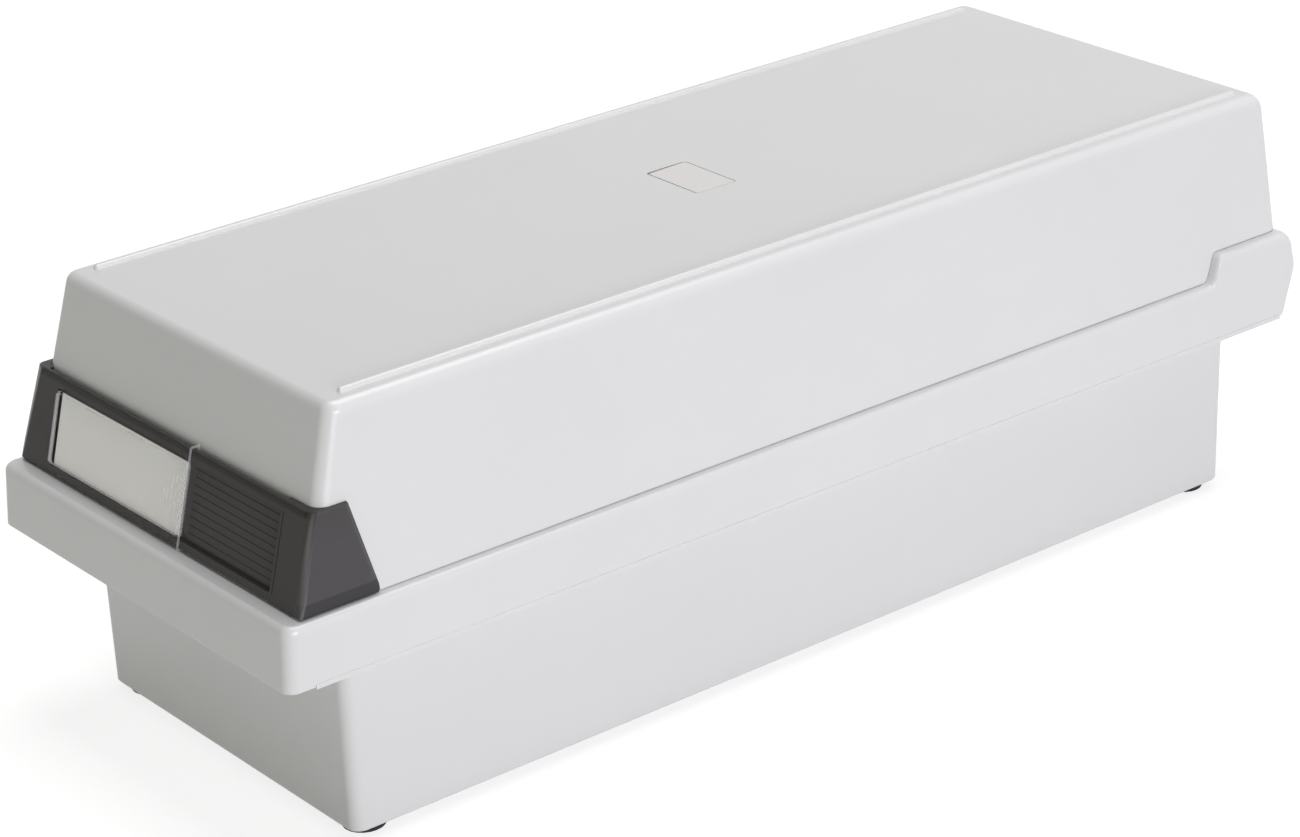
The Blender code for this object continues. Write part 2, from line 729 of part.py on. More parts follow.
def lid_section():
    """The lid's section from its ceiling, down inside, and up outside to its top."""
    deck = LID_FOOT_Z + DECK_RISE
    ceiling = LID_TOP_Z - LID_ROOF
    return [
        (lid_ring(ceiling, ceiling, LID_WALL + LID_ROOF_FILLET * 2), 0),
        (lid_ring(ceiling, ceiling, LID_WALL), LID_ROOF_FILLET),
        (lid_ring(LID_FOOT_Z, deck, LID_WALL), LID_FOOT_EDGE),
        (lid_ring(LID_FOOT_Z, deck, 0), LID_FOOT_EDGE),
        *lid_edge(),
    ]


def top_beads(bm):
    """Two low rounded beads along the lid's top."""
    x = lid_half(LID_TOP_Z) - TOP_BEAD_INSET
    y0 = lid_front(LID_TOP_Z) + TOP_BEAD_FRONT_GAP
    y1 = lid_rear(LID_TOP_Z) - TOP_BEAD_REAR_GAP
    half = TOP_BEAD_WIDTH / 2
    turn = math.pi / ROUND_SEGMENTS * 2
    for side in (-1, 1):
        layers = []
        for step in range(FILLET_SEGMENTS + 2):
            angle = math.pi / 2 * step / (FILLET_SEGMENTS + 1) * 0.9
            reach = half * math.cos(angle)
            height = LID_TOP_Z + TOP_BEAD_HEIGHT * math.sin(angle)
            layers.append((reach, height))
        layers.insert(0, (half, LID_TOP_Z - LID_ROOF / 2))
        loops = []
        for reach, z in layers:
            loop = []
            for i in range(ROUND_SEGMENTS):
                angle = turn * i
                end = y1 - half if math.sin(angle + turn / 2) > 0 else y0 + half
                loop.append((side * x + reach * math.cos(angle + turn / 2),
                             end + reach * math.sin(angle + turn / 2), z))
            loops.append(loop)
        sandwich(bm, loops)


def lid_knuckles(bm):
    """The lid's knuckles, each with a web back to the lid's rear wall."""
    root = HINGE_Z + KNUCKLE_RADIUS
    arc = []
    for i in range(ROUND_SEGMENTS + 1):
        angle = math.pi / 2 - math.pi * i / ROUND_SEGMENTS
        arc.append((HINGE_Y + KNUCKLE_RADIUS * math.cos(angle),
                    HINGE_Z + KNUCKLE_RADIUS * math.sin(angle)))
    foot = HINGE_Z - KNUCKLE_RADIUS
    inside_top = lid_rear(root) - LID_WALL / 2
    inside_foot = lid_rear(foot) - LID_WALL / 2
    profile = arc + [(inside_foot, foot), (inside_top, root)]
    for centre in hinge_centres():
        across(bm, profile, centre - LID_KNUCKLE_WIDTH / 2, centre + LID_KNUCKLE_WIDTH / 2)


def badge_outline(inset):
    x = BADGE_WIDTH / 2 - inset
    middle = (lid_front(LID_TOP_Z) + lid_rear(LID_TOP_Z)) / 2
    y = BADGE_LENGTH / 2 - inset
    return rounded(rectangle(-x, x, middle - y, middle + y), [BADGE_CORNER - inset] * 4)


def hook_places():
    return [-HOOK_SPACING / 2, HOOK_SPACING / 2]


def hook_slots(bm):
    """Slots in the lid's front wall for the clasp's hooks."""
    z0 = CLASP_Z + HOOK_RISE
    half = HOOK_WIDTH / 2 + CLEARANCE
    for x in hook_places():
        box(bm, x - half, x + half, lid_front(z0) - LID_WALL, lid_front(z0) + LID_WALL * 3,
            z0 - CLEARANCE, z0 + HOOK_HEIGHT + CLEARANCE)


def make_lid(surface):
    bm = loft(soften(lid_section()))
    extra = bmesh.new()
    top_beads(extra)
    lid_knuckles(extra)
    bm = combine(bm, extra, "UNION")
    cuts = bmesh.new()
    hinge_bores(cuts, LID_KNUCKLE_WIDTH / 2 + OVERRUN)
    upright(cuts, badge_outline(0), LID_TOP_Z - BADGE_RECESS_DEPTH, LID_TOP_Z + OVERRUN)
    hook_slots(cuts)
    return finish(combine(bm, cuts, "DIFFERENCE"), "lid", surface, (0, HINGE_Y, HINGE_Z))


def make_badge(surface, parent):
    bm = bmesh.new()
    middle = (lid_front(LID_TOP_Z) + lid_rear(LID_TOP_Z)) / 2
    points = []
    for x, y in badge_outline(CLEARANCE):
        share = 0.5 - (y - middle) / BADGE_LENGTH
        slot = BADGE_SLOT_WIDTH * share if x < 0 else 0
        points.append((x + slot, y))
    upright(bm, points, LID_TOP_Z - BADGE_RECESS_DEPTH + CLEARANCE, LID_TOP_Z - BADGE_SUNK)
    finish(bm, "lid_badge", surface, (0, middle, LID_TOP_Z), parent)


def clasp_band():
    """The closed band round the lid that the ears' side view is cut out of.

    Its front corners are chamfered, more and more towards the top.
    """
    top = CLASP_TOP_Z
    edge = CLASP_EDGE
    rings = []
    for z, inset in ((CLASP_Z, edge), (CLASP_Z + edge, 0), (top - edge, 0), (top, edge)):
        ring = lid_ring(z, z, 0)
        widening = CLASP_CHAMFER_TOP - CLASP_CHAMFER_FOOT
        chamfer = CLASP_CHAMFER_FOOT + widening * (z - CLASP_Z) / CLASP_HEIGHT
        rings.append(ring._replace(side=ring.side + EAR_DEPTH - inset,
                                   side_deck=ring.side + EAR_DEPTH - inset,
                                   front=ring.front - CLASP_DEPTH + inset,
                                   corner=chamfer,
                                   corner_y=chamfer * CLASP_CHAMFER_DEPTH_SHARE,
                                   flat=CLASP_FLATNESS_SHARE))
    for z in (top, CLASP_Z):
        rings.append(lid_ring(z, z, -CLEARANCE))
    return loft(rings, closed=True)


def ear_outline(foot_inset, rear_inset, corner):
    """The clasp seen from the side, far in front of its face to the ears' leaning rear."""
    front = lid_front(CLASP_Z) - CLASP_DEPTH * 3
    z0 = CLASP_Z - OVERRUN + foot_inset
    z1 = CLASP_TOP_Z + OVERRUN
    rear = lid_front(CLASP_Z) + EAR_REACH - rear_inset
    lean = EAR_LEAN_SHARE
    return rounded([(front, z0), (rear - lean * (z0 - CLASP_Z), z0),
                    (rear - lean * (z1 - CLASP_Z), z1), (front, z1)],
                   [0, corner, EAR_TOP_CORNER, 0])


def ear_view():
    """A cutter whose side view leaves the ears and the raised panel on each."""
    whole = ear_outline(0, 0, EAR_BOTTOM_CORNER)
    panel = ear_outline(EAR_BEVEL_FOOT, EAR_BEVEL_REAR, EAR_PANEL_CORNER)
    steps = ((-OVERRUN, panel), (0, panel), (EAR_BEVEL_DEPTH, whole))
    layers = [[(-lid_half(z) - EAR_DEPTH + depth, y, z) for y, z in shape]
              for depth, shape in steps]
    layers += [[(-x, y, z) for x, y, z in layer] for layer in reversed(layers)]
    bm = bmesh.new()
    sandwich(bm, layers)
    return bm


def make_clasp(surface, parent):
    bm = combine(clasp_band(), ear_view(), "INTERSECT")
    cuts = bmesh.new()
    x0 = -RECESS_WIDTH / 2
    x1 = RECESS_WIDTH / 2
    on_face(cuts, rounded(rectangle(x0, x1, RECESS_RISE, RECESS_RISE + RECESS_HEIGHT),
                          [RECESS_CORNER] * 4), -RECESS_DEPTH, OVERRUN)
    left = -lid_half(CLASP_Z) + COVER_LEFT_GAP - CLEARANCE
    right = x1 + CLEARANCE
    wall = top_hook_front() - CLEARANCE
    box(cuts, left, right, wall, lid_front(CLASP_TOP_Z), CLASP_TOP_Z - REBATE_DEPTH,
        CLASP_TOP_Z + OVERRUN)
    bm = combine(bm, cuts, "DIFFERENCE")
    cuts = bmesh.new()
    wall = foot_hook_front() - CLEARANCE
    front = lid_front(CLASP_Z) - CLASP_DEPTH * 2
    rear = lid_front(CLASP_Z) + LID_WALL
    seat = [(front, CLASP_Z - OVERRUN), (rear, CLASP_Z - OVERRUN), (rear, CLASP_SEAT_Z + REBATE_DEPTH),
            (wall, CLASP_SEAT_Z + REBATE_DEPTH), (wall, CLASP_SEAT_Z), (front, CLASP_SEAT_Z)]
    across(cuts, seat, left, right)
    bm = combine(bm, cuts, "DIFFERENCE")
    extra = bmesh.new()
    grip_ribs(extra)
    stop_bead(extra)
    clasp_hooks(extra)
    bm = combine(bm, extra, "UNION")
    return finish(bm, "front_clasp", surface, (0, lid_front(CLASP_Z), CLASP_Z), parent)


def grip_ribs(bm):
    """Broad level ribs on the recess floor, to the right of the label."""
    pitch = RECESS_HEIGHT / (GRIP_RIB_COUNT + 1)
    x0 = COVER_RIGHT_SHIFT + GRIP_RIB_END_GAP
    x1 = RECESS_WIDTH / 2 - GRIP_RIB_END_GAP
    for i in range(GRIP_RIB_COUNT):
        middle = RECESS_RISE + pitch * (i + GRIP_RIB_START_SHARE)
        on_face(bm, rectangle(x0, x1, middle - GRIP_RIB_WIDTH / 2, middle + GRIP_RIB_WIDTH / 2),
                -RECESS_DEPTH - OVERRUN / 2, -RECESS_DEPTH + GRIP_RIB_HEIGHT)


def stop_bead(bm):
    """A slim upright bead at the recess's right end."""
    x0 = RECESS_WIDTH / 2
    on_face(bm, rectangle(x0, x0 + STOP_BEAD_WIDTH, RECESS_RISE, RECESS_RISE + RECESS_HEIGHT),
            -OVERRUN / 2, STOP_BEAD_PROUD)


def clasp_hooks(bm):
    """Barbed hooks that snap through the lid's front wall."""
    z0 = CLASP_Z + HOOK_RISE
    z1 = z0 + HOOK_HEIGHT
    inside = lid_front(z1) + LID_WALL + CLEARANCE
    root = lid_front(z0) - CLASP_DEPTH / 4
    profile = [(root, z0), (inside, z0), (inside, z0 - HOOK_BARB), (inside + HOOK_NOSE, z0),
               (inside + HOOK_NOSE, z1), (root, z1)]
    for x in hook_places():
        across(bm, profile, x - HOOK_WIDTH / 2, x + HOOK_WIDTH / 2)


def top_hook_front():
    """Front of the hook on the cover's top lip, just clear of the lid."""
    return lid_front(CLASP_TOP_Z - COVER_HOOK_REACH) - CLEARANCE - COVER_SKIN


def foot_hook_front():
    return lid_front(CLASP_Z - CLEARANCE) - CLEARANCE * 2 - COVER_SKIN


def cover_profile():
    """The sleeve's hooked section round the clasp, in Y and Z."""
    top_in = CLASP_TOP_Z + CLEARANCE
    top_out = top_in + COVER_SKIN
    foot_in = CLASP_SEAT_Z - CLEARANCE
    foot_out = CLASP_Z
    lean = math.cos(FACE_ANGLE)
    near = CLASP_DEPTH + CLEARANCE / lean
    far = near + COVER_SKIN / lean
    top_hook = top_hook_front()
    foot_hook = foot_hook_front()
    top_end = CLASP_TOP_Z - COVER_HOOK_REACH + CLEARANCE
    foot_end = foot_in + COVER_HOOK_REACH
    outside = [(foot_hook + COVER_SKIN, foot_end), (foot_hook + COVER_SKIN, foot_out),
               (lid_front(foot_out) - far, foot_out), (lid_front(top_out) - far, top_out),
               (top_hook + COVER_SKIN, top_out), (top_hook + COVER_SKIN, top_end)]
    inside = [(top_hook, top_end), (top_hook, top_in), (lid_front(top_in) - near, top_in),
              (lid_front(foot_in) - near, foot_in), (foot_hook, foot_in), (foot_hook, foot_end)]
    edge = COVER_SKIN
    return rounded(outside + inside, [0, 0, edge, edge, 0, 0] + [0] * 6)


def pane_outline(inset):
    x0 = -RECESS_WIDTH / 2 + PANE_INSET + inset
    x1 = COVER_RIGHT_SHIFT - PANE_RIGHT_INSET - inset
    y0 = RECESS_RISE + PANE_INSET + inset
    y1 = RECESS_RISE + RECESS_HEIGHT - PANE_INSET - inset
    return rounded(rectangle(x0, x1, y0, y1), [max(PANE_CORNER - inset, COVER_EDGE)] * 4)


def make_cover(surface, parent):
    x0 = -lid_half(CLASP_Z) + COVER_LEFT_GAP
    bm = bmesh.new()
    across(bm, cover_profile(), x0, COVER_RIGHT_SHIFT)
    boss = bmesh.new()
    on_face(boss, pane_outline(0), -PANE_DEPTH, CLEARANCE + COVER_SKIN / 2)
    bm = combine(bm, boss, "UNION")
    pocket = bmesh.new()
    on_face(pocket, pane_outline(COVER_SKIN * 0.8), COVER_SKIN - PANE_DEPTH,
            CLEARANCE + COVER_SKIN + OVERRUN)
    bm = combine(bm, pocket, "DIFFERENCE")
    ridges = bmesh.new()
    floor = COVER_SKIN - PANE_DEPTH
    middle = RECESS_RISE + RECESS_HEIGHT / 2
    right = COVER_RIGHT_SHIFT - PANE_RIGHT_INSET - COVER_SKIN - THUMB_RIDGE_PITCH
    for i in range(THUMB_RIDGE_COUNT):
        x = right - THUMB_RIDGE_PITCH * i
        half = THUMB_RIDGE_LENGTH * (1 - THUMB_RIDGE_FALL_SHARE * i) / 2
        on_face(ridges, rectangle(x - THUMB_RIDGE_WIDTH, x, middle - half, middle + half),
                floor - THUMB_RIDGE_PROUD, floor + THUMB_RIDGE_PROUD)
    bm = combine(bm, ridges, "UNION")
    frame = face_matrix(CLASP_Z + CLASP_HEIGHT / 2)
    origin = frame @ Vector((x0, 0, CLEARANCE))
    return finish(bm, "label_cover", surface, origin, parent)


def make_label_card(surface, parent):
    bm = bmesh.new()
    x0 = -RECESS_WIDTH / 2 + CARD_END_GAP
    x1 = COVER_RIGHT_SHIFT - PANE_RIGHT_INSET - CARD_RIGHT_GAP
    y0 = RECESS_RISE + CARD_FOOT_GAP
    y1 = RECESS_RISE + RECESS_HEIGHT - CARD_TOP_GAP
    back = -RECESS_DEPTH + CLEARANCE / 2
    on_face(bm, rectangle(x0, x1, y0, y1), back, back + CARD_THICKNESS)
    finish(bm, "label_card", surface, (x0, lid_front(CLASP_Z), CLASP_Z), parent)


def sled_span():
    rear = trough_rear(FLOOR_Z) - TROUGH_WALL - SLED_FROM_REAR
    return rear - SLED_LENGTH, rear


def lever_pivot():
    """The cam's axis: high enough for the lobe to miss the floor by the clearance."""
    _, rear = sled_span()
    z = FLOOR_Z + (RAIL_HEIGHT + CLEARANCE + SLED_TOP) / 2
    return rear - LEVER_FROM_SLED_REAR, z


def rivet_places():
    front, _ = sled_span()
    y = front + PLATE_FROM_FRONT + RIVET_FROM_BEND
    return [(-RIVET_SPACING / 2, y), (RIVET_SPACING / 2, y)]


def make_sled(surface, parent):
    """An I-shaped slider with a slot and a cross hole for the cam lever."""
    front, rear = sled_span()
    low = FLOOR_Z + CLEARANCE
    step = FLOOR_Z + RAIL_HEIGHT - RAIL_FLANGE - CLEARANCE
    shoulder = FLOOR_Z + RAIL_HEIGHT + CLEARANCE
    top = FLOOR_Z + SLED_TOP
    foot = RAIL_GAP / 2 - CLEARANCE
    neck = RAIL_THROAT / 2 - CLEARANCE
    wide = SLED_WIDTH / 2
    half = [(foot, low), (foot, step), (neck, step), (neck, shoulder), (wide, shoulder),
            (wide, top - SLED_EDGE), (wide - SLED_EDGE, top)]
    bm = bmesh.new()
    along(bm, half + [(-x, z) for x, z in reversed(half)], front, rear)
    cuts = bmesh.new()
    pivot_y, pivot_z = lever_pivot()
    cam = pivot_z - FLOOR_Z - CLEARANCE
    gap = LEVER_WIDTH / 2 + CLEARANCE
    box(cuts, -gap, gap, pivot_y - cam - CLEARANCE * 2, pivot_y + cam + CLEARANCE * 2,
        low - OVERRUN, top + OVERRUN)
    bm = combine(bm, cuts, "DIFFERENCE")
    holes = bmesh.new()
    across(holes, circle(pivot_y, pivot_z, LEVER_PIN_RADIUS + CLEARANCE),
           -wide - OVERRUN, wide + OVERRUN)
    for x, y in rivet_places():
        disc(holes, x, y, [(RIVET_RADIUS + CLEARANCE, top - RIVET_DEPTH),
                           (RIVET_RADIUS + CLEARANCE, top + OVERRUN)])
    bm = combine(bm, holes, "DIFFERENCE")
    return finish(bm, "follower_sled", surface, (0, (front + rear) / 2, FLOOR_Z), parent)


def make_plate(surface, parent):
    """A bent steel plate: a leaning face with returned sides, and a riveted foot."""
    front, _ = sled_span()
    y0 = front + PLATE_FROM_FRONT
    z0 = FLOOR_Z + SLED_TOP + CLEARANCE
    half = trough_half(FLOOR_Z) - TROUGH_WALL - PLATE_SIDE_GAP
    lean = Matrix.Translation((0, y0, z0)) @ Matrix.Rotation(-PLATE_LEAN, 4, "X")
    face = rounded([(-half, 0), (half, 0), (half, PLATE_HEIGHT), (-half, PLATE_HEIGHT)],
                   [PLATE_CORNER / 3, PLATE_CORNER / 3, PLATE_CORNER, PLATE_CORNER])
    bm = bmesh.new()
    sandwich(bm, [[lean @ Vector((x, y, z)) for x, z in face] for y in (0, PLATE_GAUGE)])
    extra = bmesh.new()
    foot = PLATE_FOOT_WIDTH / 2
    box(extra, -foot, foot, y0 + PLATE_GAUGE / 2, y0 + PLATE_FOOT_LENGTH, z0, z0 + PLATE_GAUGE)
    for side in (-1, 1):
        inset = PLATE_CORNER + PLATE_GAUGE
        flange = rectangle(PLATE_GAUGE / 2, PLATE_RETURN, inset, PLATE_HEIGHT - inset)
        xs = sorted((side * half, side * (half - PLATE_GAUGE)))
        sandwich(extra, [[lean @ Vector((x, y, z)) for y, z in flange] for x in xs])
    bm = combine(bm, extra, "UNION")
    holes = bmesh.new()
    for x, y in rivet_places():
        disc(holes, x, y, [(RIVET_RADIUS + CLEARANCE, z0 - OVERRUN),
                           (RIVET_RADIUS + CLEARANCE, z0 + PLATE_GAUGE + OVERRUN)])
    bm = combine(bm, holes, "DIFFERENCE")
    finish(bm, "follower_plate", surface, (0, y0, z0), parent)


def make_rivets(surface, parent):
    top = FLOOR_Z + SLED_TOP
    seat = top + CLEARANCE + PLATE_GAUGE + CLEARANCE
    for ending, (x, y) in zip(("left", "right"), rivet_places()):
        bm = bmesh.new()
        head = [(RIVET_HEAD_RADIUS * math.cos(a), seat + RIVET_HEAD_HEIGHT * math.sin(a))
                for a in (0, math.radians(35), math.radians(65))]
        disc(bm, x, y, [(RIVET_RADIUS, top - RIVET_DEPTH + CLEARANCE), (RIVET_RADIUS, seat)] + head)
        finish(bm, "plate_rivet_" + ending, surface, (x, y, seat), parent)


def make_lever(surface, parent):
    """A cam disc on a handle. The lobe faces the floor when the handle lies back."""
    y, z = lever_pivot()
    cam = z - FLOOR_Z - CLEARANCE
    points = []
    for i in range(ROUND_SEGMENTS * 2):
        angle = math.pi * i / ROUND_SEGMENTS
        off = abs(angle - CAM_LOCK_ANGLE)
        radius = cam if off < CAM_LOBE_HALF_ANGLE else cam * CAM_FLAT_SHARE
        points.append((y + radius * math.cos(angle), z + radius * math.sin(angle)))
    bm = bmesh.new()
    across(bm, points, -LEVER_WIDTH / 2, LEVER_WIDTH / 2)
    turn = Matrix.Translation((0, y, z)) @ Matrix.Rotation(HANDLE_ANGLE, 4, "X")
    raised = cam * CAM_FLAT_SHARE - HANDLE_THICKNESS - CLEARANCE
    shape = rounded(rectangle(0, HANDLE_LENGTH, raised, raised + HANDLE_THICKNESS),
                    [0, HANDLE_THICKNESS / 3, HANDLE_THICKNESS / 3, 0])
    arm = bmesh.new()
    sandwich(arm, [[turn @ Vector((x, b, c)) for b, c in shape]
                   for x in (-LEVER_WIDTH / 2 + CLEARANCE, LEVER_WIDTH / 2 - CLEARANCE)])
    bm = combine(bm, arm, "UNION")
    pad = bmesh.new()
    end = rounded(rectangle(-HANDLE_PAD_WIDTH / 2, HANDLE_PAD_WIDTH / 2,
                            HANDLE_LENGTH - HANDLE_PAD_LENGTH, HANDLE_LENGTH - CLEARANCE),
                  [HANDLE_THICKNESS] * 4)
    sandwich(pad, [[turn @ Vector((a, b, c)) for a, b in end]
                   for c in (raised + CLEARANCE, raised + HANDLE_THICKNESS - CLEARANCE)])
    bm = combine(bm, pad, "UNION")
    bore = bmesh.new()
    across(bore, circle(y, z, LEVER_PIN_RADIUS + CLEARANCE), -LEVER_WIDTH, LEVER_WIDTH)
    bm = combine(bm, bore, "DIFFERENCE")
    return finish(bm, "lock_lever", surface, (0, y, z), parent)


def make_lever_pin(surface, parent):
    y, z = lever_pivot()
    reach = SLED_WIDTH / 2 - LEVER_PIN_END_GAP
    bm = bmesh.new()
    across(bm, circle(y, z, LEVER_PIN_RADIUS), -reach, reach)
    finish(bm, "lever_pin", surface, (0, y, z), parent)


def main():
    for obj in list(bpy.data.objects):
        bpy.data.objects.remove(obj, do_unlink=True)
    shell = material("light grey polystyrene", (0.68, 0.68, 0.69), 0.42)
    dark = material("smoke grey moulded plastic", (0.052, 0.048, 0.046), 0.34)
    clear = material("clear styrene", (0.86, 0.86, 0.88), 0.08, alpha=0.35)
    plate = material("warm white plastic", (0.70, 0.68, 0.65), 0.45)
    card = material("white label card", (0.72, 0.71, 0.71), 0.80)
    rubber = material("black rubber", (0.018, 0.018, 0.018), 0.75)
    steel = material("zinc plated steel", (0.55, 0.55, 0.56), 0.32, metallic=1.0)
    sheet = material("grey coated steel sheet", (0.34, 0.35, 0.36), 0.45, metallic=0.3)

    tray = make_tray(shell)
    make_feet(rubber, tray)
    make_hinge_pins(steel, tray)
    lid = make_lid(shell)
    make_badge(plate, lid)
    make_clasp(dark, lid)
    make_label_card(card, lid)
    make_cover(clear, lid)
    sled = make_sled(dark, tray)
    make_plate(sheet, sled)
    make_rivets(steel, sled)
    make_lever_pin(steel, sled)
    make_lever(dark, sled)


main()
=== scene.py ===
"""Index card tray: smooth mouldings, materials, studio light and camera.

X runs across the tray, the label front faces -Y, and +Z is up, all in metres.
"""
import json
import math

import bpy
from mathutils import Matrix, Vector

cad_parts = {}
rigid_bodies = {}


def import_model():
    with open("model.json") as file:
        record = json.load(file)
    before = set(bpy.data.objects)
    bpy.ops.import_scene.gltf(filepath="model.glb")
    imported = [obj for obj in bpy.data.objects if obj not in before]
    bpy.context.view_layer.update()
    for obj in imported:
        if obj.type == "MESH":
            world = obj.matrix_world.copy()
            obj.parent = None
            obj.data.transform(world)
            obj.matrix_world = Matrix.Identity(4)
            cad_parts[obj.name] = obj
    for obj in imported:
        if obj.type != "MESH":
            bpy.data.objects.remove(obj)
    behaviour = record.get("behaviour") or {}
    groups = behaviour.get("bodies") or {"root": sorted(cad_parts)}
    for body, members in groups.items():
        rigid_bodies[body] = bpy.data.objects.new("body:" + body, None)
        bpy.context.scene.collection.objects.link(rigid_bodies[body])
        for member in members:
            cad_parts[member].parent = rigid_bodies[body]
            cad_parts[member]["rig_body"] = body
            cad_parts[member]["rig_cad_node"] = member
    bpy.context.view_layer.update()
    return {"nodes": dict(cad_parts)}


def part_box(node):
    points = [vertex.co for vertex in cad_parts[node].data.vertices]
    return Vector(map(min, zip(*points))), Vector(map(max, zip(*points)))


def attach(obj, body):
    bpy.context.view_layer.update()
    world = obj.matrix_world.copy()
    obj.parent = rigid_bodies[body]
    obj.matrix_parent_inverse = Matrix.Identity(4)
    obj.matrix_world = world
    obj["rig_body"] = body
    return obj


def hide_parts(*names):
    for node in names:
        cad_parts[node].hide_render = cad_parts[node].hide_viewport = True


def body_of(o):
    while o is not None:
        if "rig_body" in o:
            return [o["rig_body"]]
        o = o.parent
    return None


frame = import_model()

bl_info = {
    "name": "Index card tray",
    "version": (1, 0, 0),
    "blender": (4, 5, 0),
    "location": "View3D > Sidebar > Card tray",
    "description": "Builds the finished look of an index card tray with a hinged lid",
    "category": "Object",
}

COVER_LOW, COVER_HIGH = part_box("label_cover")
FRONT_LEAN = math.atan(0.264)

# The lid's foot is below FOOT_HIGHEST also where it steps up to the rear deck
FOOT_HIGHEST = 0.0804
FOOT_DROP = 0.00022
BADGE_SHIFT = 0.00022
BADGE_EDGE = 0.00015
RIBBED_BOX = ((-0.0534, -1.0, 0.0741), (0.0534, 1.0, 0.0960))
PANE_HEIGHTS = (0.10, 0.93)
PANE_FROM_LEFT = 0.004


# Colours

def linear(text):
    """An sRGB hex colour as linear red, green, blue and alpha."""
    shares = [int(text[i:i + 2], 16) / 255 for i in (1, 3, 5)]
    return tuple(s / 12.92 if s <= 0.04045 else ((s + 0.055) / 1.055) ** 2.4
                 for s in shares) + (1.0,)


def colour_property(name, description, default):
    return bpy.props.FloatVectorProperty(name=name, description=description, size=3,
                                         subtype="COLOR", min=0.0, max=1.0,
                                         default=linear(default)[:3])


def length_property(name, description, default):
    return bpy.props.FloatProperty(name=name, description=description, default=default,
                                   unit="LENGTH", subtype="DISTANCE", precision=5)


class CardTraySizes(bpy.types.PropertyGroup):
    shell_edge: length_property(
        "Shell edge", "Rounding of the sharp edges of the tray and the lid", 0.00030)
    clasp_edge: length_property(
        "Clasp edge", "Rounding of the clasp's sharp edges", 0.00025)
    sleeve_edge: length_property(
        "Sleeve edge", "Rounding of the label sleeve's sharp edges", 0.00012)
    metal_edge: length_property(
        "Metal edge", "Rounding of the follower plate's cut edges", 0.00015)
    shell_grain: length_property(
        "Shell grain", "Distance between the bumps of the shells' fine moulded grain", 0.00070)
    clasp_grain: length_property(
        "Clasp grain", "Distance between the bumps of the dark moulding's grain", 0.00060)
    paper_fibre: length_property(
        "Paper fibre", "Distance between the label card's fibres", 0.00050)


class CardTrayColours(bpy.types.PropertyGroup):
    shell: colour_property("Shell", "Light grey polystyrene of the tray and the lid", "#D5D5D7")
    smoke: colour_property("Smoke", "Smoke grey polystyrene of the clasp", "#413E3C")
    # Painted light: a lighter copy of the smoke colour, for the light that falls on the clasp's
    # ears from the right
    lit_ear: colour_property("Ear", "The same polystyrene where the clasp's ears are thin", "#4C4A4C")
    sleeve: colour_property("Sleeve", "Clear styrene of the label sleeve", "#F2F2F4")
    card: colour_property("Card", "White card of the label", "#FFFDFE")
    badge: colour_property("Badge", "Warm white plate on the lid", "#D9D6D5")
    rubber: colour_property("Rubber", "Black rubber of the feet", "#1B1B1C")
    zinc: colour_property("Zinc", "Zinc plating of the pins and rivets", "#C4C6C8")
    coating: colour_property("Coating", "Grey powder coating of the follower plate", "#9A9C9F")
    floor: colour_property("Floor", "Pale studio floor", "#E3E3E3")


# Materials

def add(tree, kind, values=None, links=None):
    """Add a shader node. Values name its settings or sockets, and links feed its sockets."""
    node = tree.nodes.new(kind)
    for key, value in (values or {}).items():
        if isinstance(key, int) or key in node.inputs:
            node.inputs[key].default_value = value
        else:
            setattr(node, key, value)
    for key, socket in (links or {}).items():
        tree.links.new(socket, node.inputs[key])
    return node


def start_material(name):
    """A new material with nothing but its output, and object coordinates in metres."""
    material = bpy.data.materials.new(name)
    material.use_nodes = True
    tree = material.node_tree
    tree.nodes.clear()
    place = add(tree, "ShaderNodeTexCoord").outputs["Object"]
    return material, tree, place


def end_material(tree, shader):
    add(tree, "ShaderNodeOutputMaterial", links={"Surface": shader.outputs[0]})


def per_metre(pitch):
    """A texture scale whose pattern repeats about once in the given length."""
    return 1.0 / pitch


def ramp(tree, value, start, end, low=0.0, high=1.0):
    """A share that runs from low to high while the value runs from start to end."""
    share = add(tree, "ShaderNodeMapRange",
                {"From Min": start, "From Max": end, "To Min": low, "To Max": high},
                {"Value": value})
    return share.outputs[0]


def times(tree, *shares):
    """The product of some shares."""
    product = shares[0]
    for share in shares[1:]:
        product = add(tree, "ShaderNodeMath", {"operation": "MULTIPLY"},
                      {0: product, 1: share}).outputs[0]
    return product


def band(tree, value, rise, full, fall, end):
    """A share that is 1 while the value is between full and fall, and 0 far from there."""
    return times(tree, ramp(tree, value, rise, full), ramp(tree, value, fall, end, 1.0, 0.0))


def noise(tree, place, pitch, **settings):
    """A noise whose bumps lie about one pitch apart."""
    return add(tree, "ShaderNodeTexNoise", {"Scale": per_metre(pitch), **settings},
               {"Vector": place}).outputs[0]


def bump(tree, height, strength, distance):
    """Normals that follow a height."""
    return add(tree, "ShaderNodeBump", {"Strength": strength, "Distance": distance},
               {"Height": height}).outputs[0]


def blend(tree, share, first, second):
    """Two colours mixed by a share. The first is a colour, or a socket that gives one."""
    mixed = add(tree, "ShaderNodeMix", {"data_type": "RGBA", 7: second}, {0: share})
    if isinstance(first, tuple):
        mixed.inputs[6].default_value = first
    else:
        tree.links.new(first, mixed.inputs[6])
    return mixed.outputs[2]


def shaded(tree, place, colour, other, pitch):
    """Two colours mixed by a soft noise."""
    cloud = noise(tree, place, pitch, Detail=3.0, Roughness=0.55)
    return blend(tree, ramp(tree, cloud, 0.2, 0.8), colour, other)


def darker(colour, share):
    """A colour times a share, which may also be above 1."""
    return tuple(c * share for c in colour[:3]) + (1.0,)


